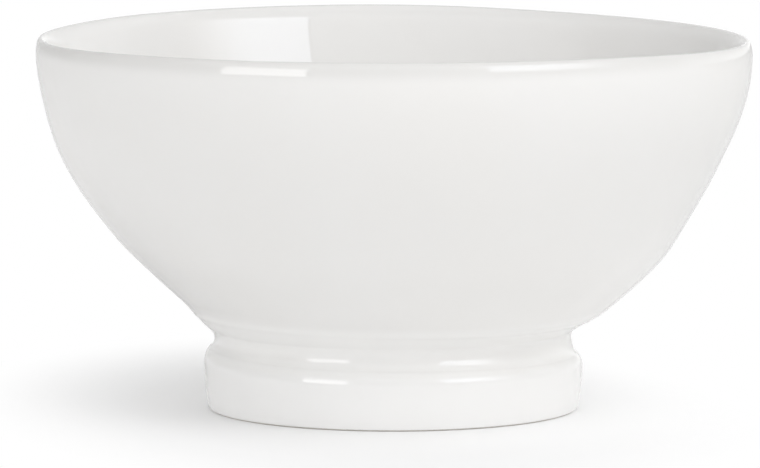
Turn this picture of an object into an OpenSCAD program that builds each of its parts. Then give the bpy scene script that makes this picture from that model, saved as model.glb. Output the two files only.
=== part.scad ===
// Footed porcelain bowl for milky coffee: a round-bottomed cup on a turned pedestal foot.
//
// Every piece is a solid of revolution about Z. The table is z = 0 and the axis of the bowl is x = y = 0.
// The clay is drawn first, as one outline that climbs the foot, the belly and the lip and runs down inside to the
// middle of the floor. The glaze is that same outline moved out by the thickness of the glaze, so both skins lie
// face to face with the clay, and the rim, the height and the foot below are finished sizes, over the glaze.

/* [Rim] */

// Widest width of the glazed bowl, just below the lip
rim_d = 140; // [124:1:160]
// Height of the crest of the lip above the table
bowl_h = 73.5; // [62:0.5:90]
// Thickness of the glazed lip
lip_w = 3; // [2:0.1:4.4]
// How far in from the outside the crest of the lip lies, as a share of the lip's thickness
crest_share = 0.33; // [0.3:0.01:0.6]
// How far the outer rounding of the lip reaches down from its crest
lip_drop_out = 3.2; // [1.6:0.1:5]
// How far the inner rounding of the lip reaches down from its crest
lip_drop_in = 2.6; // [1.4:0.1:5]

/* [Wall] */

// Thickness of the clay wall where the belly meets the foot
wall_low = 4.6; // [3:0.1:6]
// Thickness of the clay floor in the middle
floor_t = 5; // [3:0.1:7]
// How far the middle of the cup's underside hangs below the height where belly and foot meet
bottom_drop = 6.2; // [3:0.1:8]

/* [Foot] */

// Widest width of the glazed foot, at its shoulder
foot_d = 74.2; // [66:0.1:84]
// How far the waist above the shoulder is drawn in, on each side
waist_depth = 2.1; // [0.8:0.1:4]
// Height at which belly and foot would meet without a fillet
foot_h = 15.4; // [12:0.1:22]
// Height of the waist, from the shoulder of the foot up to where the belly meets it
waist_h = 4.9; // [3:0.1:7]
// How much narrower than its shoulder the foot is at the bottom, on each side
foot_taper = 0.9; // [0:0.1:2.5]
// Thickness of the foot's wall at the bottom
foot_wall = 4.1; // [3:0.1:6]
// Thickness of the foot's wall at the waist, from there to the well under the foot
neck_wall = 4.7; // [3.4:0.1:7]
// Width and height of the bare rounded edges of the standing ring
ring_edge = 0.5; // [0.2:0.1:1]

/* [Slip and glaze] */

// Thickness of the slip that joins the cup to the foot
slip_t = 0.4; // [0.2:0.1:0.8]
// Width of the slip fillet in the inner corner, under the cup
slip_fillet = 2; // [1:0.1:4]
// Thickness of the glaze
glaze_t = 0.3; // [0.1:0.05:0.5]

/* [Curve] */

// Where the corner of the belly lies between the foot and the widest place, as a share of that height
belly_corner_share = 0.478; // [0.35:0.01:0.6]
// How hard the belly is pulled to its corner at the lower end, and at the upper end
belly_pull_share = [0.85, 0.31];
// The same two for the inside, above the bend over the foot
inside_pull_share = [0.08, 0.85];
// The same two for the inside, from that bend to the middle of the floor
floor_pull_share = [0.95, 0.6];

/* [Hidden] */

$fn = 180;
// Straight pieces in a long curve and in a short rounding
curve_steps = 24;
round_steps = 12;

// A quarter round, written as pulls to its corner
round_pull_share = [0.5523, 0.5523];
// The foot's slightly bellied wall: the height of its corner and the pulls to it
wall_corner_share = 0.5;
wall_pull_share = [0.6, 0.6];
// The waist, as shares of its height: rounding under the shoulder, slope, rounding into the neck, fillet to the belly
shoulder_round_share = 0.37;
slope_share = 0.29;
neck_round_share = 0.43;
cove_share = 0.23;
shoulder_pull_share = [0.8, 0.42];
neck_pull_share = [0.42, 0.65];

// Clay sizes: the finished ones without their glaze
clay_r = rim_d / 2 - glaze_t;
clay_top = bowl_h - glaze_t;
crest_r = rim_d / 2 - lip_w * crest_share;
inner_r = rim_d / 2 - lip_w + glaze_t;
widest_h = clay_top - lip_drop_out;
foot_r = foot_d / 2 - glaze_t;
neck_r = foot_r - waist_depth;
foot_low_r = foot_r - foot_taper;
well_low_r = foot_low_r - foot_wall;
well_top_r = neck_r - neck_wall;
shoulder_h = foot_h - waist_h;

// The belly's lower line runs from the crease with the neck to the belly's own corner
crease = [neck_r, foot_h];
belly_corner = [clay_r, foot_h + (widest_h - foot_h) * belly_corner_share];
rise = unit(belly_corner - crease);
cove_w = waist_h * cove_share;
cove_low = [neck_r, foot_h - cove_w];
cove_high = crease + cove_w * rise;

// The cup's underside carries the belly's slope on under the foot and dies away to level at the axis
bottom_h = foot_h - bottom_drop;
bottom_rise = cove_high.y - bottom_h;
bottom_power = cove_high.x * rise.y / rise.x / bottom_rise;
floor_h = bottom_h + floor_t;

// The inside line passes the joint at one wall's thickness from the belly, and parallel to it
inside_turn = cove_high + wall_low * [-rise.y, rise.x];
inside_corner = [inner_r, inside_turn.y + (inner_r - inside_turn.x) * rise.y / rise.x];
floor_corner = [inside_turn.x - (inside_turn.y - floor_h) * rise.x / rise.y, floor_h];

// Functions

function unit(v) = v / norm(v);

function reversed(line) = [for (i = [len(line) - 1:-1:0]) line[i]];

// The line without its first point, to follow a line that ends there
function rest(line) = [for (i = [1:len(line) - 1]) line[i]];

function lowered(line, by) = [for (p = line) p - [0, by]];

// A curve from a to b that leaves each end towards the corner, pulled to it by the two shares
function bend(a, corner, b, pull, steps) =
    let (p = a + (corner - a) * pull[0], q = b + (corner - b) * pull[1])
    [for (i = [0:steps]) let (t = i / steps, s = 1 - t)
        s * s * s * a + 3 * s * s * t * p + 3 * s * t * t * q + t * t * t * b];

// The direction of a line from its point i to the next. Past an end on the axis it goes on as its mirror image
function heading(line, i) =
    let (last = len(line) - 2, k = min(max(i, 0), last), along = unit(line[k + 1] - line[k]))
    i > last && line[last + 1].x == 0 ? [along.x, -along.y] : along;

// The line moved sideways by a distance, to the right of its direction, as a skin of even thickness
function moved(line, by) =
    [for (i = [0:len(line) - 1])
        let (before = heading(line, i - 1), along = unit(before + heading(line, i)))
        line[i] + by * [along.y, -along.x] / (along * before)];

// A skin of even thickness on a line
function skin(line, by) = concat(line, reversed(moved(line, by)));

// The cup's underside: its height at a radius, and its points between two radii
function bottom_at(r) = bottom_h + bottom_rise * pow(r / cove_high.x, bottom_power);
function bottom_line(from, to, steps) =
    [for (i = [0:steps]) let (r = from + (to - from) * i / steps) [r, bottom_at(r)]];

// Outline of the clay, from the table up the outside

ring_out = [foot_low_r - ring_edge, 0];
ring_in = [well_low_r + ring_edge, 0];
wall_low_point = [foot_low_r, ring_edge];
wall_high_point = [foot_r, shoulder_h - waist_h * shoulder_round_share];
wall_corner = [foot_r, wall_low_point.y + (wall_high_point.y - wall_low_point.y) * wall_corner_share];
shoulder = [foot_r, shoulder_h];
slope_end = [neck_r, shoulder_h + waist_h * slope_share];
slope_middle = (shoulder + slope_end) / 2;
neck_low = slope_end + [0, waist_h * neck_round_share];

ring_out_round = bend(ring_out, [foot_low_r, 0], wall_low_point, round_pull_share, round_steps);
foot_wall_line = bend(wall_low_point, wall_corner, wall_high_point, wall_pull_share, round_steps);
shoulder_line = bend(wall_high_point, shoulder, slope_middle, shoulder_pull_share, round_steps);
neck_line = concat(bend(slope_middle, slope_end, neck_low, neck_pull_share, round_steps), [cove_low]);
foot_line = concat(foot_wall_line, rest(shoulder_line), rest(neck_line));
cove_line = bend(cove_low, crease, cove_high, round_pull_share, round_steps);

lip_out = [clay_r, widest_h];
crest = [crest_r, clay_top];
lip_in = [inner_r, clay_top - lip_drop_in];
belly_line = bend(cove_high, belly_corner, lip_out, belly_pull_share, curve_steps);
lip_line = concat(
    bend(lip_out, [clay_r, clay_top], crest, round_pull_share, round_steps),
    rest(bend(crest, [inner_r, clay_top], lip_in, round_pull_share, round_steps)));
inside_line = concat(
    bend(lip_in, inside_corner, inside_turn, inside_pull_share, curve_steps),
    rest(bend(inside_turn, floor_corner, [0, floor_h], floor_pull_share, curve_steps)));
cup_line = concat(belly_line, rest(lip_line), rest(inside_line));

// The seat of the foot under the cup, and the hollow inside it

fillet_r = well_top_r - slip_fillet;
bottom_middle = bottom_line(0, fillet_r, curve_steps);
bottom_fillet = bottom_line(fillet_r, well_top_r, round_steps);
bottom_seat = bottom_line(well_top_r, neck_r, round_steps);
bottom_edge = bottom_line(neck_r, cove_high.x, round_steps);
seat_line = lowered(bottom_seat, slip_t);
well_low = [well_low_r, ring_edge];
well_high = seat_line[0];
well_fillet = well_high - unit(well_high - well_low) * slip_fillet;
ring_in_round = bend(well_low, [well_low_r, 0], ring_in, round_pull_share, round_steps);
fillet_line = bend(well_fillet, bottom_fillet[round_steps], bottom_fillet[0], round_pull_share, round_steps);

// Pieces

// A piece turned from a closed outline
module turned(outline) {
    rotate_extrude() polygon(outline);
}

// The cup: belly, lip, inside and the round bottom that sits in the foot
module bowl() {
    color([0.93, 0.92, 0.9])
        turned(concat(
            cup_line,
            bottom_middle,
            rest(bottom_fillet),
            rest(bottom_seat),
            rest(bottom_edge)));
}

// The pedestal foot: bellied wall, shoulder, waist, a seat that follows the cup, and the flat standing ring
module foot_ring() {
    color([0.87, 0.85, 0.81])
        turned(concat(
            ring_out_round,
            rest(foot_line),
            reversed(seat_line),
            ring_in_round));
}

// The slip between cup and foot, with the cove it fills outside and the fillet inside
module luting_slip() {
    color([0.8, 0.77, 0.72])
        turned(concat(
            reversed(cove_line),
            reversed(seat_line),
            fillet_line,
            rest(bottom_fillet),
            rest(bottom_seat),
            rest(bottom_edge)));
}

// The glaze from just above the standing ring, over the lip, to the middle of the floor inside
module glaze_coat() {
    color([0.97, 0.97, 0.96])
        turned(skin(concat(foot_line, rest(cove_line), rest(cup_line)), glaze_t));
}

// The glaze in the well under the foot
module foot_well_glaze() {
    color([0.97, 0.97, 0.96])
        turned(skin(concat([well_low], fillet_line, rest(reversed(bottom_middle))), -glaze_t));
}

bowl();
foot_ring();
luting_slip();
glaze_coat();
foot_well_glaze();
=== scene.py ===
# %% [markdown]
# A latte bowl is a wide porcelain bowl for milky coffee, lifted with both hands, so it has no handle. On
# the bench it is five things: the cup, the foot, the slip that sticks the two together, and two skins of
# glaze, one over the whole outside and inside, and one in the hollow under the foot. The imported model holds
# these five as solids of revolution. They are the frame: they say where each piece is and how big it is,
# and nothing here resizes them.

import bpy
import numpy as np
from mathutils import Euler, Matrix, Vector


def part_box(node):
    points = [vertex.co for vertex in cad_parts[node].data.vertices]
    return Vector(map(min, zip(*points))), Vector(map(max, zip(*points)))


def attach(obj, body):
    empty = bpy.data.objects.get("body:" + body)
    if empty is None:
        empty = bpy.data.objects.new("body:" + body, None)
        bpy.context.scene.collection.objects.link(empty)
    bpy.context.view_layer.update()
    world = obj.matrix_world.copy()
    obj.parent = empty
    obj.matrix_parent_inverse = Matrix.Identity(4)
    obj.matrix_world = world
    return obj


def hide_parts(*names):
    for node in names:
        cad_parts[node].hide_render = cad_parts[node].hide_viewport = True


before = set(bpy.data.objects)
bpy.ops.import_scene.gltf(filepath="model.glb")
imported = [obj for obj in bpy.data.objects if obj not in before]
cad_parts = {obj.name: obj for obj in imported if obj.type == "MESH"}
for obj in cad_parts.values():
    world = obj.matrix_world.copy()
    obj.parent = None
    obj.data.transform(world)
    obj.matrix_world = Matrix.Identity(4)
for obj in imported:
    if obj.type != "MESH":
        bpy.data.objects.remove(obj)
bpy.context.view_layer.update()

print("nodes in the frame:", ", ".join(sorted(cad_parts)))

# %% [markdown]
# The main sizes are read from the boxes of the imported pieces, so they can't drift away from the frame. The
# box of the glaze gives the finished width and height, and the glaze is as thick as it stands above the
# clay. The sizes that no box shows, such as the thickness of the wall low down, are written here once, in
# metres.

# %% Sizes
MM = 0.001

bowl_low, bowl_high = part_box("bowl")
_, foot_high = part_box("foot_ring")
_, glaze_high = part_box("glaze_coat")
well_low_corner, well_high_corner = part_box("foot_well_glaze")

glaze_t = glaze_high.z - bowl_high.z
clay_r = bowl_high.x
clay_top = bowl_high.z
foot_r = foot_high.x
well_low_r = well_high_corner.x
ring_edge = well_low_corner.z
bottom_h = bowl_low.z

lip_w = 3 * MM
lip_drop_out = 2.9 * MM
lip_drop_in = 2.6 * MM
crest_share = 0.30
wall_low = 4.6 * MM
floor_t = 5 * MM
waist_depth = 2.1 * MM
foot_h = 15.4 * MM
waist_h = 4.9 * MM
foot_taper = 0.9 * MM
outer_edge_share = 0.55
neck_wall = 4.7 * MM
slip_t = 0.4 * MM
slip_fillet = 2 * MM

crest_r = clay_r + glaze_t - crest_share * lip_w
inner_r = clay_r - lip_w + 2 * glaze_t
widest_h = clay_top - lip_drop_out
neck_r = foot_r - waist_depth
foot_low_r = foot_r - foot_taper
outer_edge = outer_edge_share * ring_edge
well_top_r = neck_r - neck_wall
shoulder_h = foot_h - waist_h
floor_h = bottom_h + floor_t

print(f"rim {2 * glaze_high.x / MM:.1f} mm across, {glaze_high.z / MM:.1f} mm high,",
      f"glaze {glaze_t / MM:.2f} mm thick")

# %% [markdown]
# Every piece is turned, so each needs only half of its section, an outline in the plane of radius and
# height. A potter's profile is a chain of few curves. Each curve here leaves its first point towards a
# corner and reaches its last point from that corner, and two shares say how hard the corner pulls. It's a
# Bezier curve whose handles both lie on the way to one corner, so a share of 0.5523 each way gives a
# quarter round.


# %% Curves of the outline
def even(steps):
    """Evenly spaced parameters from 0 to 1."""
    return np.linspace(0, 1, steps + 1)


def bend(a, corner, b, pull, t):
    """A curve from a to b: weights (1-t)^3, 3(1-t)^2 t, 3(1-t) t^2 and t^3 on a, a + pull0 (corner - a), b
    + pull1 (corner - b) and b."""
    a, corner, b = np.array(a), np.array(corner), np.array(b)
    t = t[:, None]
    s = 1 - t
    p = a + (corner - a) * pull[0]
    q = b + (corner - b) * pull[1]
    return s**3 * a + 3 * s**2 * t * p + 3 * s * t**2 * q + t**3 * b


def unit(v):
    """Vectors divided by their length."""
    return v / np.linalg.norm(v, axis=-1, keepdims=True)


def meeting(a, along_a, b, along_b):
    """Where the line through a in one direction meets the line through b in another."""
    steps = np.linalg.solve(np.array([along_a, -along_b]).T, b - a)
    return a + steps[0] * along_a


def joined(*lines):
    """Lines end to end, each but the first without its first point, which repeats the last one before
    it."""
    return np.vstack([lines[0]] + [line[1:] for line in lines[1:]])


ROUND_PULL = (0.5523, 0.5523)
round_t = even(8)
turn_t = even(14)
print("middle of a quarter round:", bend([0, 0], [1, 0], [1, 1], ROUND_PULL, round_t)[4].round(4))

# %% [markdown]
# The outside starts at the standing ring. The foot's wall is slightly bellied, turns over a shoulder into a
# narrow waist, and the belly springs from there. The heights of the waist's parts are shares of its own
# height. The wall has close steps at its foot, where the glaze ends.

# %% Outline of the foot
belly_corner_share = 0.478
shoulder_round_share = 0.37
slope_share = 0.29
neck_round_share = 0.43
cove_share = 0.23
WALL_PULL = (0.6, 0.6)
SHOULDER_PULL = (0.8, 0.42)
NECK_PULL = (0.42, 0.65)

crease = np.array([neck_r, foot_h])
belly_corner = np.array([clay_r, foot_h + (widest_h - foot_h) * belly_corner_share])
rise = unit(belly_corner - crease)
cove_w = waist_h * cove_share
cove_low = np.array([neck_r, foot_h - cove_w])
cove_high = crease + cove_w * rise

foot_edge = np.array([foot_low_r, outer_edge])
wall_top = np.array([foot_r, shoulder_h - waist_h * shoulder_round_share])
wall_corner = np.array([foot_r, (foot_edge[1] + wall_top[1]) / 2])
shoulder = np.array([foot_r, shoulder_h])
slope_end = np.array([neck_r, shoulder_h + waist_h * slope_share])
slope_middle = (shoulder + slope_end) / 2
neck_low = slope_end + [0, waist_h * neck_round_share]

wall_t = np.append(0, np.geomspace(0.015, 1, 14))
foot_wall_line = bend(foot_edge, wall_corner, wall_top, WALL_PULL, wall_t)
shoulder_line = bend(wall_top, shoulder, slope_middle, SHOULDER_PULL, turn_t)
neck_line = bend(slope_middle, slope_end, neck_low, NECK_PULL, turn_t)
cove_line = bend(cove_low, crease, cove_high, ROUND_PULL, round_t)
foot_line = joined(foot_wall_line, shoulder_line, neck_line)
foot_line = np.vstack([foot_line, cove_low])

print(f"foot: {len(foot_line)} points, shoulder {2 * foot_r / MM:.1f} mm across,",
      f"neck {2 * neck_r / MM:.1f} mm")

# %% [markdown]
# The belly is one curve from the cove to the widest place, just below the lip. The light catches a faint
# ridge just above the join, where the slip was sponged off the cup, so the belly has close steps over its
# first few millimetres. The lip is two roundings that meet at its crest, nearer the outside than the
# inside. The inside wall leans out right up to the lip, and runs into the floor over the foot.

# %% Outline of the cup
BELLY_PULL = (0.85, 0.31)
INSIDE_PULL = (0.7, 0.8)
FLOOR_PULL = (0.95, 0.6)
ridge_reach = 0.08
inside_lean = np.radians(12.5)

belly_t = np.append(np.linspace(0, ridge_reach, 28), np.linspace(ridge_reach, 1, 36)[1:])
lip_t = even(10)
inside_t = even(34)
floor_t_steps = even(26)

belly_line = bend(cove_high, belly_corner, [clay_r, widest_h], BELLY_PULL, belly_t)

up_the_inside = np.array([np.sin(inside_lean), np.cos(inside_lean)])
lip_in = np.array([inner_r, clay_top - lip_drop_in])
lip_corner = lip_in + up_the_inside * lip_drop_in / up_the_inside[1]
lip_line = joined(
    bend([clay_r, widest_h], [clay_r, clay_top], [crest_r, clay_top], ROUND_PULL, lip_t),
    bend([crest_r, clay_top], lip_corner, lip_in, ROUND_PULL, lip_t))

inside_turn = cove_high + wall_low * np.array([-rise[1], rise[0]])
inside_corner = meeting(lip_in, up_the_inside, inside_turn, rise)
floor_corner = [inside_turn[0] - (inside_turn[1] - floor_h) * rise[0] / rise[1], floor_h]
inside_line = joined(
    bend(lip_in, inside_corner, inside_turn, INSIDE_PULL, inside_t),
    bend(inside_turn, floor_corner, [0, floor_h], FLOOR_PULL, floor_t_steps))
cup_line = joined(belly_line, lip_line, inside_line)

print(f"outline of the clay: {len(foot_line) + len(cove_line) + len(cup_line)} points,",
      f"belly leaves the foot at {np.degrees(np.arctan2(rise[1], rise[0])):.1f} degrees")

# %% [markdown]
# Under the foot, the cup's own round bottom closes the hollow. The foot's top is cut to sit on it, with the
# slip between them, and the slip is smeared into a small fillet in the inner corner.

# %% Outline under the cup
bottom_rise = cove_high[1] - bottom_h
bottom_power = cove_high[0] * rise[1] / rise[0] / bottom_rise
fillet_r = well_top_r - slip_fillet


def bottom_line(start, end, steps):
    """The cup's underside between two radii: its height above the middle grows as a power of the radius,
    chosen so that it meets the belly's own slope at the cove."""
    r = np.linspace(start, end, steps + 1)
    return np.stack([r, bottom_h + bottom_rise * (r / cove_high[0])**bottom_power], axis=1)


bottom_middle = bottom_line(0, fillet_r, 20)
bottom_fillet = bottom_line(fillet_r, well_top_r, 6)
bottom_seat = bottom_line(well_top_r, neck_r, 10)
bottom_edge = bottom_line(neck_r, cove_high[0], 4)
seat_line = bottom_seat - [0, slip_t]

ring_out_round = bend([foot_low_r - outer_edge, 0], [foot_low_r, 0], foot_edge, ROUND_PULL, round_t)
well_low = np.array([well_low_r, ring_edge])
ring_in_round = bend(well_low, [well_low_r, 0], [well_low_r + ring_edge, 0], ROUND_PULL, round_t)
well_fillet = seat_line[0] - unit(seat_line[0] - well_low) * slip_fillet
well_wall = well_low + (well_fillet - well_low) * round_t[:, None]
fillet_line = bend(well_fillet, bottom_fillet[-1], bottom_fillet[0], ROUND_PULL, round_t)

print(f"hollow under the foot: {2 * well_low_r / MM:.1f} mm across, {bottom_h / MM:.1f} mm deep")

# %% [markdown]
# Glaze is a skin. It flows a little before it sets, so it isn't as even as a moved outline: it draws back
# to a thin round edge where the foot was wiped bare, pools in the cove, lies over the ridge above the join,
# and thins over the sharp crest of the lip. So the outline is moved sideways by a distance of its own at
# each point. The three changes are bells, each with an amount, a height and a reach.

# %% Skins of glaze
COAT_EDGE = 0.18 * MM
WELL_EDGE = 0.4 * MM
EDGE_SHARE = 0.12
COVE_POOL = (0.03 * MM, foot_h, 1.4 * MM)
JOIN_RIDGE = (0.07 * MM, 18.8 * MM, 0.5 * MM)
LIP_THINNING = (0.05 * MM, clay_top, 1.2 * MM)


def bell(x, amount, middle, reach):
    """A bell: the amount times e to the minus square of the distance from the middle, in reaches."""
    return amount * np.exp(-((x - middle) / reach)**2)


def travelled(line):
    """Distance along the line up to each point."""
    return np.append(0, np.cumsum(np.linalg.norm(np.diff(line, axis=0), axis=1)))


def edge_share(line, edge):
    """The share of its full thickness that a glaze has: a quarter round over its first stretch, but never
    less than a thin edge."""
    share = np.clip(travelled(line) / edge, 0, 1)
    return np.maximum(np.sqrt(1 - (1 - share)**2), EDGE_SHARE)


def coat_thickness(line):
    """The glaze's even thickness with its drawn-back edge, plus pool and ridge outside, less the thin
    lip."""
    height = line[:, 1]
    outside = np.arange(len(line)) < np.argmax(height)
    pool = bell(height, *COVE_POOL) * outside
    ridge = bell(height, *JOIN_RIDGE) * outside
    return glaze_t * edge_share(line, COAT_EDGE) + pool + ridge - bell(height, *LIP_THINNING)


def moved(line, by):
    """The line moved to the right of its direction by a distance for each point, mitred: a point goes along
    the bisector of its two segments, by the distance over the cosine of half the turn. At the axis it's
    mirrored."""
    along = unit(np.diff(line, axis=0))
    before = np.vstack([along[:1], along])
    after = np.vstack([along, along[-1:]])
    if line[-1, 0] == 0:
        after[-1] = along[-1] * [1, -1]
    bisector = unit(before + after)
    cosine = (bisector * before).sum(axis=1, keepdims=True)
    right = np.stack([bisector[:, 1], -bisector[:, 0]], axis=1)
    return line + by[:, None] * right / cosine


glaze_line = joined(foot_line, cove_line, cup_line)
glaze_by = coat_thickness(glaze_line)
well_line = joined(well_wall, fillet_line, bottom_middle[::-1])
well_by = glaze_t * edge_share(well_line, WELL_EDGE)

print(f"glaze {glaze_by.min() / MM:.2f} to {glaze_by.max() / MM:.2f} mm thick",
      f"over {travelled(glaze_line)[-1] / MM:.0f} mm")

# %% [markdown]
# No fired bowl is quite round. Porcelain softens in the kiln, and this one shows it, by about a millimetre
# at most: the low part of the cup is canted, so that the join with the foot climbs to the left, and so is
# the shoulder of the foot. The neck stands a little to the left, the belly swells above it and leans to the
# left further up. The rim dips at the right and, less, at the left, and rises a little at the front. One
# gentle function of place does all of it to every piece, so neighbours still touch.

# %% How the bowl moved in the kiln
FOOT_OFF = -0.09 * MM
FOOT_OFF_FADE = (17 * MM, 23 * MM)
WALL_OFF = (-0.42 * MM, 50 * MM, 8 * MM)
NECK_OFF = (-0.20 * MM, 15.5 * MM, 2 * MM)
LOW_OFF = (0.25 * MM, 30 * MM, 6 * MM)
LEFT_LEAN = (0.20 * MM, 62 * MM, 10 * MM)
LOW_SWELL = (0.50 * MM, 31 * MM, 5 * MM)
CANT = 1.05 * MM
CANT_START = (16 * MM, 21 * MM)
CANT_FADE = (25 * MM, 44 * MM)
SHOULDER_CANT = (0.7 * MM, 11 * MM, 2 * MM)
SHOULDER_EVEN = 0.3
RIM_SADDLE = 0.2 * MM
RIM_FADE = (40 * MM, clay_top)
# The dips and rises of the rim: amount, angle and reach in degrees
RIM_BELLS = ((-0.95 * MM, 22, 55), (-0.30 * MM, 180, 32), (0.20 * MM, -95, 50))


def step(x, start, end):
    """A smooth step from 0 to 1 between start and end: 3 t^2 - 2 t^3."""
    t = np.clip((x - start) / (end - start), 0, 1)
    return t * t * (3 - 2 * t)


def fired(points):
    """Moves each point a little. Sideways, and out from the axis, by amounts that depend on its height. Up
    or down by a cant, which grows with x and depends on height, and by the rim's saddle and dips, which
    depend on the angle and fade down the wall."""
    x, y, z = points.T
    from_axis = np.hypot(x, y)
    spread = np.maximum(from_axis, neck_r)
    side = x / spread
    sideways = FOOT_OFF * (1 - step(z, *FOOT_OFF_FADE)) + bell(z, *WALL_OFF) + bell(z, *NECK_OFF)
    sideways = sideways + bell(z, *LOW_OFF) + bell(z, *LEFT_LEAN) * np.clip(-side, 0, 1)**2
    swell = 1 + bell(z, *LOW_SWELL) / spread
    cant = CANT * side * step(z, *CANT_START) * (1 - step(z, *CANT_FADE))
    cant = cant + bell(z, *SHOULDER_CANT) * side * (SHOULDER_EVEN + (1 - SHOULDER_EVEN) * side**2)
    angle = np.arctan2(y, x)
    rim = -RIM_SADDLE * np.cos(2 * angle)
    for amount, middle, reach in RIM_BELLS:
        turn = np.angle(np.exp(1j * (angle - np.radians(middle)))) / np.radians(reach)
        rim = rim + amount * np.exp(-turn**4)
    rim = rim * step(z, *RIM_FADE) * from_axis / clay_r
    return np.stack([x * swell + sideways, y * swell, z - cant + rim], axis=1)


low_join = 20 * MM
probe = np.array([[clay_r, 0, clay_top], [-clay_r, 0, clay_top],
                  [neck_r, 0, low_join], [-neck_r, 0, low_join]])
print("rim at the right and left, and join at the right and left, after firing:",
      (fired(probe)[:, 2] / MM).round(2), "mm")

# %% [markdown]
# A turned piece is its outline carried round the axis. As a grid, one parameter runs along the outline and
# the other round the axis, and the whole grid is worked out at once. Where the outline starts and ends on
# the axis, each end is one vertex with a fan of triangles, so that the pole is closed. Otherwise the
# outline is a ring and closes on itself. Running the outline the wrong way round would turn the piece
# inside out, so its signed area decides.

# %% Turned surfaces
TURNS = 240
SHARP_ANGLE = 40


def turned(name, outline):
    """A piece from its outline: the point (r, z) at angle a is (r cos a, r sin a, z), moved as in the kiln.
    The outline runs from axis to axis, or is a closed ring, and faces look to its outside."""
    poles = outline[0, 0] == 0 and outline[-1, 0] == 0
    r, z = outline.T
    signed = np.sum(r * np.roll(z, -1) - np.roll(r, -1) * z)
    if signed < 0:
        outline = outline[::-1]
    rings = outline[1:-1] if poles else outline
    angle = 2 * np.pi * np.arange(TURNS) / TURNS
    r, z = rings[:, :1], rings[:, 1:]
    grid = np.stack([r * np.cos(angle), r * np.sin(angle), z + 0 * angle], axis=-1).reshape(-1, 3)
    row = np.arange(len(rings))
    rows, rows_on = (row[:-1], row[1:]) if poles else (row, np.roll(row, -1))
    j = np.arange(TURNS)
    j_on = np.roll(j, -1)
    quads = np.stack([rows[:, None] * TURNS + j, rows[:, None] * TURNS + j_on,
                      rows_on[:, None] * TURNS + j_on, rows_on[:, None] * TURNS + j], axis=-1)
    faces = quads.reshape(-1, 4).tolist()
    if poles:
        ends = np.array([[0, 0, outline[0, 1]], [0, 0, outline[-1, 1]]])
        first, last = len(grid), len(grid) + 1
        top = (len(rings) - 1) * TURNS
        grid = np.vstack([grid, ends])
        faces += np.stack([np.full(TURNS, first), j_on, j], axis=1).tolist()
        faces += np.stack([np.full(TURNS, last), top + j, top + j_on], axis=1).tolist()
    mesh = bpy.data.meshes.new(name)
    mesh.from_pydata(fired(grid).tolist(), [], faces)
    mesh.shade_smooth()
    mesh.set_sharp_from_angle(angle=np.radians(SHARP_ANGLE))
    piece = bpy.data.objects.new(name, mesh)
    bpy.context.scene.collection.objects.link(piece)
    return piece


def volume(piece):
    """Signed volume in cubic millimetres: a sixth of the sum of the triangles' triple products."""
    mesh = piece.data
    mesh.calc_loop_triangles()
    corners = np.zeros(len(mesh.loop_triangles) * 3, np.int32)
    mesh.loop_triangles.foreach_get("vertices", corners)
    places = np.zeros(len(mesh.vertices) * 3)
    mesh.vertices.foreach_get("co", places)
    a, b, c = places.reshape(-1, 3)[corners.reshape(-1, 3)].transpose(1, 0, 2)
    return np.einsum("ij,ij->", a, np.cross(b, c)) / 6 / MM**3


print(f"one of the {TURNS} steps round the rim is {2 * np.pi * clay_r / TURNS / MM:.2f} mm long")

# %% [markdown]
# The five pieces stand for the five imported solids. They keep their outlines but for the small forms above:
# the lean of the inside wall, a finer lip, and what the glaze and the kiln did. The glaze's inner face is
# the clay's own outline, so glaze and clay lie face to face.

# %% The five pieces
outlines = {
    "bowl": joined(bottom_middle, bottom_fillet, bottom_seat, bottom_edge, cup_line),
    "foot_ring": np.vstack([ring_out_round, foot_line[1:], seat_line[::-1], ring_in_round]),
    "luting_slip": np.vstack([cove_line[::-1], seat_line[::-1], fillet_line,
                              bottom_fillet[1:], bottom_seat[1:], bottom_edge[1:-1]]),
    "glaze_coat": np.vstack([glaze_line[::-1], moved(glaze_line, glaze_by)]),
    "foot_well_glaze": np.vstack([well_line[::-1], moved(well_line, -well_by)]),
}
names = {
    "bowl": "cup_body",
    "foot_ring": "turned_foot",
    "luting_slip": "slip_joint",
    "glaze_coat": "outer_glaze",
    "foot_well_glaze": "well_glaze",
}
pieces = {}
for node, outline in outlines.items():
    piece = turned(names[node], outline)
    pieces[node] = piece
    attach(piece, "root")
    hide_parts(node)
    print(f"{names[node]}: {len(piece.data.polygons)} faces, {volume(piece):.0f} cubic mm")

# %% [markdown]
# A material is a small network of nodes. Written out node by node it's long and hard to read, so two small
# classes carry it. One wraps an output socket and turns arithmetic on it into Math nodes, so that `1 -
# mask` works. The other holds the tree and adds any other node: its type, then its settings, then the
# values or links of its sockets. A few short forms of that one method stand for the nodes that come up
# again and again.


# %% Shader helpers
class Value:
    """An output socket that can be added, subtracted, multiplied, divided, raised to a power and
    compared."""

    def __init__(self, tree, socket):
        self.tree = tree
        self.socket = socket

    def __add__(self, other):
        return self.tree.math("ADD", self, other)

    def __sub__(self, other):
        return self.tree.math("SUBTRACT", self, other)

    def __rsub__(self, other):
        return self.tree.math("SUBTRACT", other, self)

    def __mul__(self, other):
        return self.tree.math("MULTIPLY", self, other)

    def __truediv__(self, other):
        return self.tree.math("DIVIDE", self, other)

    def __pow__(self, other):
        return self.tree.math("POWER", self, other)

    def __lt__(self, other):
        return self.tree.math("LESS_THAN", self, other)


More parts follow.
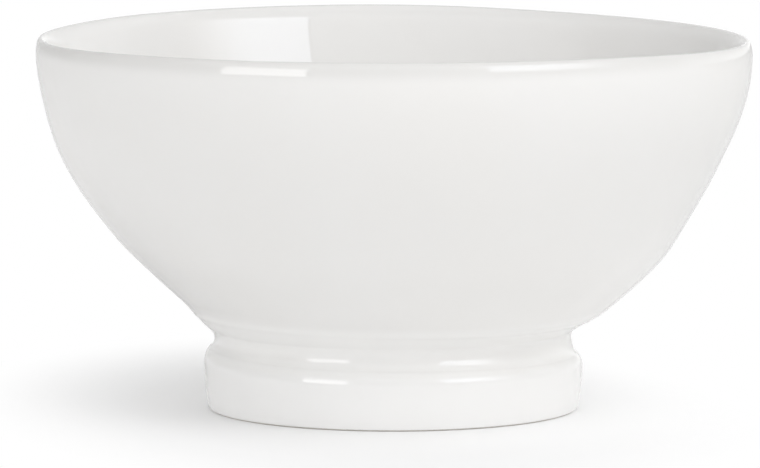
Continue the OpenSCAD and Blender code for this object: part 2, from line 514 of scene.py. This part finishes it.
class Tree:
    """A node tree, emptied, and one method that adds any node to it."""

    def __init__(self, owner):
        owner.use_nodes = True
        self.nodes = owner.node_tree.nodes
        self.links = owner.node_tree.links
        self.nodes.clear()

    def add(self, kind, settings={}, inputs={}, out=0):
        """Adds a node, sets its settings, feeds its sockets with numbers, colours or Values, and returns
        one output, or the node itself if it has none."""
        node = self.nodes.new(kind)
        for name, setting in settings.items():
            setattr(node, name, setting)
        for key, given in inputs.items():
            if isinstance(given, Value):
                self.links.new(given.socket, node.inputs[key])
            else:
                node.inputs[key].default_value = given
        return Value(self, node.outputs[out]) if node.outputs else node

    def math(self, operation, *terms):
        """A Math node on one or two terms."""
        return self.add("ShaderNodeMath", {"operation": operation}, dict(enumerate(terms)))

    def axes(self, place):
        """The three coordinates of a place or a direction."""
        return [self.add("ShaderNodeSeparateXYZ", {}, {0: place}, out=axis) for axis in "XYZ"]

    def mix(self, share, a, b):
        """The colour a with a share of the colour b."""
        return self.add("ShaderNodeMix", {"data_type": "RGBA"}, {0: share, 6: a, 7: b}, out=2)

    def band(self, value, start, end):
        """A smooth step of a value from 0 at start to 1 at end."""
        return self.add("ShaderNodeMapRange", {"interpolation_type": "SMOOTHSTEP"},
                        {"Value": value, "From Min": start, "From Max": end})

    def noise(self, place, size, detail):
        """Noise from 0 to 1 whose lumps are about one size across, in metres."""
        return self.add("ShaderNodeTexNoise", {}, {"Vector": place, "Scale": 1 / size, "Detail": detail})


WHITE = (1, 1, 1, 1)

# %% [markdown]
# Glazed porcelain is white clay seen through clear glass. All its colour sits under a smooth, mirror-like
# skin, and light leaves it by two ways: scattered by the clay, and reflected by the glass. One Principled
# shader does both, with a pale base, little roughness and the glass's refractive index. Close up, the white
# isn't even. It's paler with painted light over the join and on the slope of the foot, which lie in shade
# in the waist, and greyer with painted shade over the lip, where the light from above falls strongest. The
# foot has a cooler white than the cup, a painted cool light. The white has a slow drift of tone, and here
# and there a speck of iron or a pinhole.

# %% Colour of the glaze
GLAZE_WHITE = (0.80, 0.794, 0.783, 1)
GLAZE_WARM = (0.79, 0.779, 0.76, 1)
# This paler white is painted light over the join and on the slope of the foot, which lie in shade
GLAZE_PAINTED_LIGHT = (0.84, 0.836, 0.825, 1)
# This grey is painted shade on the lip, where the light from above falls strongest
GLAZE_PAINTED_SHADE = (0.735, 0.728, 0.715, 1)
# This cooler white is a painted cool light on the foot
GLAZE_FOOT_PAINTED_COOL = (0.80, 0.797, 0.792, 1)
SPECK_BROWN = (0.30, 0.26, 0.21, 1)

DRIFT_SIZE = 38 * MM
DRIFT_BAND = (0.42, 0.68)
SPECK_CELL = 9 * MM
SPECK_ODDS = 0.07
SHARE_OF_WARM = 0.45
SHARE_OVER_JOIN = 0.8
SHARE_ON_SLOPE = 0.4
SHARE_ON_FOOT = 0.7
SHARE_OF_SPECK = 0.4
# The edges of each zone of painted light or shade: the height or radius where it's nought, and the one where
# it's full
JOIN_FROM = (14 * MM, 16 * MM)
JOIN_TO = (20.8 * MM, 19 * MM)
SLOPE_FROM = (10.2 * MM, 11.2 * MM)
SLOPE_TO = (13.2 * MM, 12.2 * MM)
LIP_ABOVE = (69.5 * MM, 72.9 * MM)
LIP_OUTSIDE = (68.0 * MM, 69.2 * MM)
FOOT_BELOW = (11 * MM, 9.5 * MM)
# A speck's radius in cells: its least, what noise adds, the size of that noise, and the all-brown share
SPECK_LEAST = 0.006
SPECK_SPREAD = 0.03
SPECK_NOISE = 4 * MM
SPECK_CORE = 0.4


def painted_light_tint(tree, place, colour):
    """The colour with painted light, paler over the join and on the slope, painted shade, greyer on the lip,
    and a painted cool light on the foot. Each zone lies between heights, or outside a radius, which is the
    root of x squared plus y squared."""
    x, y, height = tree.axes(place)
    from_axis = (x * x + y * y) ** 0.5
    join = tree.band(height, *JOIN_FROM) * tree.band(height, *JOIN_TO)
    slope = tree.band(height, *SLOPE_FROM) * tree.band(height, *SLOPE_TO)
    lip = tree.band(height, *LIP_ABOVE) * tree.band(from_axis, *LIP_OUTSIDE)
    foot = tree.band(height, *FOOT_BELOW)
    # Painted light over the join and on the slope
    colour = tree.mix(join * SHARE_OVER_JOIN + slope * SHARE_ON_SLOPE, colour, GLAZE_PAINTED_LIGHT)
    # Painted shade on the lip
    colour = tree.mix(lip, colour, GLAZE_PAINTED_SHADE)
    # A painted cool light on the foot
    return tree.mix(foot * SHARE_ON_FOOT, colour, GLAZE_FOOT_PAINTED_COOL)


def specks(tree, place):
    """1 in a few dots, 0 elsewhere: the points within a small distance of the middle of a cell, in the few
    cells whose lot is low. The distance varies from dot to dot."""
    cell = {"Vector": place, "Scale": 1 / SPECK_CELL}
    near = tree.add("ShaderNodeTexVoronoi", {"feature": "F1"}, cell, out="Distance")
    lots = tree.add("ShaderNodeTexVoronoi", {"feature": "F1"}, cell, out="Color")
    lot = tree.add("ShaderNodeSeparateColor", {}, {0: lots}, out="Red")
    size = tree.noise(place, SPECK_NOISE, 0) * SPECK_SPREAD + SPECK_LEAST
    return tree.band(near, size, size * SPECK_CORE) * (lot < SPECK_ODDS)


def glaze_colour(tree, place):
    """The white with its slow drift, its painted light and shade, and its specks."""
    drift = tree.band(tree.noise(place, DRIFT_SIZE, 3), *DRIFT_BAND)
    colour = tree.mix(drift * SHARE_OF_WARM, GLAZE_WHITE, GLAZE_WARM)
    colour = painted_light_tint(tree, place, colour)
    return tree.mix(specks(tree, place) * SHARE_OF_SPECK, colour, SPECK_BROWN)


print(f"specks sit in {100 * SPECK_ODDS:.0f} per cent of the cells, which are {SPECK_CELL / MM:.0f} mm wide")

# %% [markdown]
# The surface of the glaze has long, very low waves, which make the edges of reflected lamps waver, and fine
# dimples on them. Both are far too low to show in the outline, so they are a bump in the shader.

# %% Glaze
WAVE_SIZE = 16 * MM
DIMPLE_SIZE = 1.6 * MM
WAVE_SHARE = 1.0
DIMPLE_SHARE = 0.02
WAVE_HEIGHT = 0.02 * MM
GLASS_INDEX = 1.5
GLOSS_ROUGH = 0.03
GLOSS_SPREAD = 0.02
GLOSS_SIZE = 6 * MM


def glaze_finish():
    """White gloss glaze: its colour, a bump of long waves and fine dimples, and a roughness that varies a
    little."""
    material = bpy.data.materials.new("white_gloss_glaze")
    tree = Tree(material)
    place = tree.add("ShaderNodeTexCoord", out="Object")
    waves = tree.noise(place, WAVE_SIZE, 1) * WAVE_SHARE
    dimples = tree.noise(place, DIMPLE_SIZE, 1) * DIMPLE_SHARE
    shader = tree.add("ShaderNodeBsdfPrincipled", {}, {
        "Base Color": glaze_colour(tree, place),
        "Roughness": tree.noise(place, GLOSS_SIZE, 3) * GLOSS_SPREAD + GLOSS_ROUGH,
        "IOR": GLASS_INDEX,
        "Normal": tree.add("ShaderNodeBump", {}, {
            "Strength": 1.0, "Distance": WAVE_HEIGHT, "Height": waves + dimples}),
    })
    tree.add("ShaderNodeOutputMaterial", {}, {"Surface": shader})
    return material


glaze = glaze_finish()
print("glaze material:", len(glaze.node_tree.nodes), "nodes")

# %% [markdown]
# The standing ring is bare porcelain. It's matt, a little warmer than the glaze, has the grain of a sanded
# surface, and is dark brown right at the table: partly grey dirt picked up from every table and shelf, and
# partly painted shade where it meets the table. The clay inside the walls and the slip in the joint don't
# show, but a cut bowl would show them, so they get the same matt clay, and the slip gets it without the
# dirt and painted shade.

# %% Bare clay
CLAY_WHITE = (0.78, 0.765, 0.735, 1)
CLAY_DULL = (0.70, 0.68, 0.645, 1)
SLIP_GREY = (0.74, 0.725, 0.70, 1)
# Dark brown at the table, partly dirt and partly painted shade where the ring meets the table
RING_SOIL_AND_SHADE = (0.36, 0.30, 0.25, 1)

GRAIN_SIZE = 0.5 * MM
PATCH_SIZE = 7 * MM
RUB_SIZE = 2.5 * MM
SOIL_AND_SHADE_HEIGHT = 0.25 * MM
GRAIN_HEIGHT = 0.05 * MM
GRAIN_STRENGTH = 0.6
CLAY_ROUGH = 0.65
CLAY_SPREAD = 0.2
RUBBED_BAND = (0.30, 0.70)
SOIL_AND_SHADE_LEAST = 0.5
SOIL_AND_SHADE_SPREAD = 0.25
CLAY_INDEX = 1.45


def soil_and_shade(tree, place):
    """A share of dirt and painted shade: full at the table and none a little above it, rubbed more in some
    places than others."""
    height = tree.axes(place)[2]
    rubbed = tree.band(tree.noise(place, RUB_SIZE, 4), *RUBBED_BAND)
    return tree.band(height, SOIL_AND_SHADE_HEIGHT, 0.0) * (rubbed * SOIL_AND_SHADE_SPREAD + SOIL_AND_SHADE_LEAST)


def clay_finish(name, pale, dull, soiled_and_shaded):
    """Matt fired clay: two whites mixed by noise, a fine grain in the bump, and dirt with painted shade near
    the table if asked."""
    material = bpy.data.materials.new(name)
    tree = Tree(material)
    place = tree.add("ShaderNodeTexCoord", out="Object")
    grain = tree.noise(place, GRAIN_SIZE, 3)
    colour = tree.mix(tree.noise(place, PATCH_SIZE, 3), pale, dull)
    if soiled_and_shaded:
        # Dirt and painted shade along the bottom edge
        colour = tree.mix(soil_and_shade(tree, place), colour, RING_SOIL_AND_SHADE)
    shader = tree.add("ShaderNodeBsdfPrincipled", {}, {
        "Base Color": colour,
        "Roughness": grain * CLAY_SPREAD + CLAY_ROUGH,
        "IOR": CLAY_INDEX,
        "Normal": tree.add("ShaderNodeBump", {}, {
            "Strength": GRAIN_STRENGTH, "Distance": GRAIN_HEIGHT, "Height": grain}),
    })
    tree.add("ShaderNodeOutputMaterial", {}, {"Surface": shader})
    return material


bare_clay = clay_finish("bare_fired_clay", CLAY_WHITE, CLAY_DULL, True)
slip_clay = clay_finish("fired_slip", SLIP_GREY, CLAY_DULL, False)
finishes = {
    "bowl": bare_clay,
    "foot_ring": bare_clay,
    "luting_slip": slip_clay,
    "glaze_coat": glaze,
    "foot_well_glaze": glaze,
}
for node, material in finishes.items():
    pieces[node].data.materials.append(material)
    print(f"{names[node]} is finished in {material.name}")

# %% [markdown]
# The bowl stands on a plain white table that runs out of the picture on every side. A white table in a
# bright room is at once the background and the shadow's canvas. Close to the bowl it's painted wood that
# takes light and shadow. It throws nearly all its light back up at the foot, but for the camera alone it
# has painted shade, a little greyer, and a faint painted glow that lifts its shadow, as a picture cleaned
# for a page does. Further out the camera sees it plain white. The change from one to the other is slow and
# follows a long oval, which lies a little askew, as the shadow of the bowl does.

# %% Floor
FLOOR_HALF = 4.0
FLOOR_WHITE = (0.97, 0.97, 0.97, 1)
# For the camera the table near the bowl is greyer, a painted shade, and has a faint painted glow
FLOOR_SEEN_PAINTED_SHADE = (0.795, 0.795, 0.795, 1)
FLOOR_PAINTED_GLOW = 0.10
# The oval: its middle and half widths in metres, its turn in degrees, and where the change starts and ends
OVAL_CENTRE = (-0.0071, -0.0034)
OVAL_REACH = (0.061, 0.099)
OVAL_TURN = 12.7
OVAL_START = 0.353
OVAL_END = 1.252


def oval_distance(tree):
    """How far a place on the table is from the middle of the oval, in shares of the oval's half widths: the
    place is turned into the oval's own directions, divided by the half widths, and its length is taken."""
    east, north, _ = tree.axes(tree.add("ShaderNodeTexCoord", out="Object"))
    east = east - OVAL_CENTRE[0]
    north = north - OVAL_CENTRE[1]
    turn = np.radians(OVAL_TURN)
    cosine, sine = float(np.cos(turn)), float(np.sin(turn))
    across = (east * cosine + north * sine) / OVAL_REACH[0]
    along = (north * cosine - east * sine) / OVAL_REACH[1]
    return (across * across + along * along) ** 0.5


def floor_finish():
    """White paint with painted shade, a little greyer, and a faint painted glow for the camera alone, mixed
    with plain white by the distance from the middle of the oval."""
    material = bpy.data.materials.new("white_table")
    tree = Tree(material)
    seen = tree.add("ShaderNodeLightPath", out="Is Camera Ray")
    paint = tree.add("ShaderNodeBsdfDiffuse", {}, {"Color": tree.mix(seen, FLOOR_WHITE, FLOOR_SEEN_PAINTED_SHADE)})
    painted_glow = tree.add("ShaderNodeEmission", {}, {"Color": WHITE, "Strength": seen * FLOOR_PAINTED_GLOW})
    near = tree.add("ShaderNodeAddShader", {}, {0: paint, 1: painted_glow})
    far = tree.add("ShaderNodeEmission", {}, {"Color": WHITE, "Strength": 1.0})
    plain = tree.band(oval_distance(tree), OVAL_START, OVAL_END)
    shader = tree.add("ShaderNodeMixShader", {}, {0: seen * plain, 1: near, 2: far})
    tree.add("ShaderNodeOutputMaterial", {}, {"Surface": shader})
    return material


floor_mesh = bpy.data.meshes.new("table_top")
signs = ((-1, -1), (1, -1), (1, 1), (-1, 1))
floor_mesh.from_pydata([(FLOOR_HALF * x, FLOOR_HALF * y, 0) for x, y in signs], [], [(0, 1, 2, 3)])
floor_mesh.materials.append(floor_finish())
floor = bpy.data.objects.new("table_top", floor_mesh)
bpy.context.scene.collection.objects.link(floor)
print(f"table {2 * FLOOR_HALF:.0f} m square")

# %% [markdown]
# The room is a white tent. Most of its light comes in low, from the walls all round, and little from above,
# which is why the belly's underside and the foot are as bright as the shoulder. So for the rays that light
# things the world is bright up to about forty degrees, a little more so at the left and at the back, and
# dark overhead. A brighter stretch of wall behind the bowl, at the right, lights the right edge.

# %% Light of the room
ROOM_LOW = 1.51
ROOM_TO_THE_LEFT = 0.22
ROOM_TO_THE_BACK = 0.15
ROOM_BEHIND_RIGHT = 0.25
ROOM_RISE_RIGHT = 0.09
ROOM_TOP_EDGE = 0.64
ROOM_LOW_EDGE = 0.58
BEHIND_FROM = (85, 115)
BEHIND_TO = (165, 145)

world = bpy.data.worlds.new("white_room")
bpy.context.scene.world = world
tree = Tree(world)
east, north, up = tree.axes(tree.add("ShaderNodeTexCoord", out="Generated"))
around = tree.math("ARCTAN2", east, 0 - north)
above = tree.math("ARCSINE", up)


def degrees_band(value, start, end):
    """A smooth step of an angle in radians, between two angles in degrees."""
    return tree.band(value, float(np.radians(start)), float(np.radians(end)))


walls = tree.band(up - east * ROOM_RISE_RIGHT, ROOM_TOP_EDGE, ROOM_LOW_EDGE)
behind_right = degrees_band(around, *BEHIND_FROM) * degrees_band(around, *BEHIND_TO)
lit = north * ROOM_TO_THE_BACK - east * ROOM_TO_THE_LEFT + behind_right * ROOM_BEHIND_RIGHT + ROOM_LOW
lit = lit * walls
print(f"the walls light with {ROOM_LOW} up to {np.degrees(np.arcsin(ROOM_LOW_EDGE)):.0f} degrees,",
      "the ceiling not at all")

# %% [markdown]
# What the gloss shows is a matter of its own. A photographer of china hangs white cards where their
# reflections look well, and such cards light little. Here they're painted on the room, for the rays that a
# gloss sends back. The card at the right, a cool white, has a sharp edge towards the camera and fades to
# the right: it draws the wide patch inside the bowl at the left, and the streaks on lip and foot at the
# right. The small one at the left draws the short sharp streaks on the lip and on the shoulder of the foot.
# A faint one in front brightens the back of the inside. The others lie beside and behind the bowl, because
# a gloss seen along its surface mirrors what lies behind it, and a dark room there would draw dark lines
# along the outline. Between the cards the room is dimmer at the left than at the right.

# %% Cards in the gloss
MIRRORED_LEFT = 0.12
MIRRORED_RIGHT = 0.45
RIGHT_CARD = 3.4
LEFT_CARD = 4.0
FRONT_CARD = 0.65
BACK_CARD = 0.4
SIDE_CARD = 0.5
TOP_CARD = 0.8
BACKDROP = 0.15
CARD_COOL = (0.94, 0.98, 1.06, 1)


def card(left, right, low, high):
    """1 on a patch of the room and 0 around it. Each edge is a pair of angles in degrees, from just outside
    the patch to just inside: azimuths for the left and the right edge, elevations for the low and the high
    one."""
    sideways = degrees_band(around, *left) * degrees_band(around, *right)
    return sideways * degrees_band(above, *low) * degrees_band(above, *high)


card_right = card(left=(30.5, 31.1), right=(84, 50), low=(5, 14), high=(32, 30))
card_left = card(left=(-56.8, -56.4), right=(-27.7, -28.1), low=(-1, 0), high=(18.5, 17.5))
card_front = card(left=(-74, -66), right=(30.5, 29.5), low=(15, 21), high=(46, 38))
# After the three cards come bands behind on both sides, low beside, overhead and straight behind
cards = (
    (card_right, RIGHT_CARD),
    (card_left, LEFT_CARD),
    (card_front, FRONT_CARD),
    (degrees_band(around, 104, 107) + degrees_band(around, -120, -165), BACK_CARD),
    (degrees_band(around, 90, 115) * degrees_band(above, 15, -8), SIDE_CARD),
    (degrees_band(above, 52, 72), TOP_CARD),
    (degrees_band(around, 155, 175) + degrees_band(around, -155, -175), BACKDROP),
)
mirrored = tree.band(east, -0.8, 0.8) * (MIRRORED_RIGHT - MIRRORED_LEFT) + MIRRORED_LEFT
for patch, brightness in cards:
    mirrored = mirrored + patch * brightness

print(f"gloss shows a room of {MIRRORED_LEFT} to {MIRRORED_RIGHT} and cards of",
      ", ".join(str(brightness) for _, brightness in cards))

# %% [markdown]
# The light of the room and the cards are one world. It asks each ray what it is for. A ray to the camera,
# also through a clear thing, sees plain white, a ray off a gloss sees the cards, and any other ray is lit
# by the walls.

# %% The room put together
ROOM_SEEN = 1.0

for_mirror = tree.add("ShaderNodeLightPath", out="Is Glossy Ray")
for_camera = tree.add("ShaderNodeLightPath", out="Is Camera Ray")
for_glass = tree.add("ShaderNodeLightPath", out="Is Transmission Ray")
for_eye = tree.math("MAXIMUM", for_camera, for_glass)
strength = lit * (1 - for_mirror) * (1 - for_eye) + mirrored * for_mirror + for_eye * ROOM_SEEN
tint = tree.mix(card_right * for_mirror, WHITE, CARD_COOL)
background = tree.add("ShaderNodeBackground", {}, {"Color": tint, "Strength": strength})
tree.add("ShaderNodeOutputWorld", {}, {"Surface": background})
print("room:", len(world.node_tree.nodes), "nodes")

# %% [markdown]
# One large lamp, high in front and to the right, adds the light that falls into the bowl and models it. The
# gloss doesn't show it, because the cards do that work.

# %% Lamp
AIM_HEIGHT = 0.04


def soft_box(name, azimuth, elevation, distance, wide, high, radiance):
    """A rectangular lamp that looks at the middle of the bowl, as bright as a white wall times radiance.
    Azimuth is in degrees from the camera's side towards the right, elevation in degrees above the table. A
    lamp of that radiance gives pi times its area in watts."""
    az, el = np.radians(azimuth), np.radians(elevation)
    way = Vector((np.sin(az) * np.cos(el), -np.cos(az) * np.cos(el), np.sin(el)))
    lamp = bpy.data.lights.new(name, "AREA")
    lamp.shape = "RECTANGLE"
    lamp.size = wide
    lamp.size_y = high
    lamp.energy = np.pi * wide * high * radiance
    holder = bpy.data.objects.new(name, lamp)
    holder.location = Vector((0, 0, AIM_HEIGHT)) + way * distance
    holder.rotation_euler = way.to_track_quat("Z", "Y").to_euler()
    holder.visible_camera = False
    bpy.context.scene.collection.objects.link(holder)
    place = tuple(round(v, 2) for v in holder.location)
    print(f"{name}: {lamp.energy:.1f} W, {wide} by {high} m, at {place}")
    return holder


main_lamp = soft_box("main_lamp", azimuth=30, elevation=56, distance=2.0, wide=1.3, high=1.3, radiance=3.15)
main_lamp.visible_glossy = False

# %% [markdown]
# The photograph was taken with a long lens from far away, just above the rim: the far rim shows as a thin
# ellipse, and left and right sides are hardly in perspective. The camera stands a metre and a half away,
# looks down by about six degrees, and is turned a hair to the left, because the bowl stands right of the
# middle of the frame.

# %% Camera
PHOTO_WIDTH = 760
FOCAL_PIXELS = 7704.8
AXIS_COLUMN = 394
CAMERA_PLACE = (0, -1.5, 0.201)
CAMERA_DOWN = 6.348
SENSOR_WIDTH = 36
SEES_TO = 50

camera_data = bpy.data.cameras.new("camera")
camera_data.sensor_width = SENSOR_WIDTH
camera_data.lens = FOCAL_PIXELS * SENSOR_WIDTH / PHOTO_WIDTH
camera_data.clip_end = SEES_TO
camera = bpy.data.objects.new("camera", camera_data)
camera.location = CAMERA_PLACE
turn = (AXIS_COLUMN - PHOTO_WIDTH / 2) / FOCAL_PIXELS
camera.rotation_euler = Euler((np.radians(90 - CAMERA_DOWN), 0, turn))
bpy.context.scene.collection.objects.link(camera)
bpy.context.scene.camera = camera
bpy.context.scene.view_settings.view_transform = "Standard"
print(f"lens {camera_data.lens:.0f} mm on a {SENSOR_WIDTH} mm sensor")
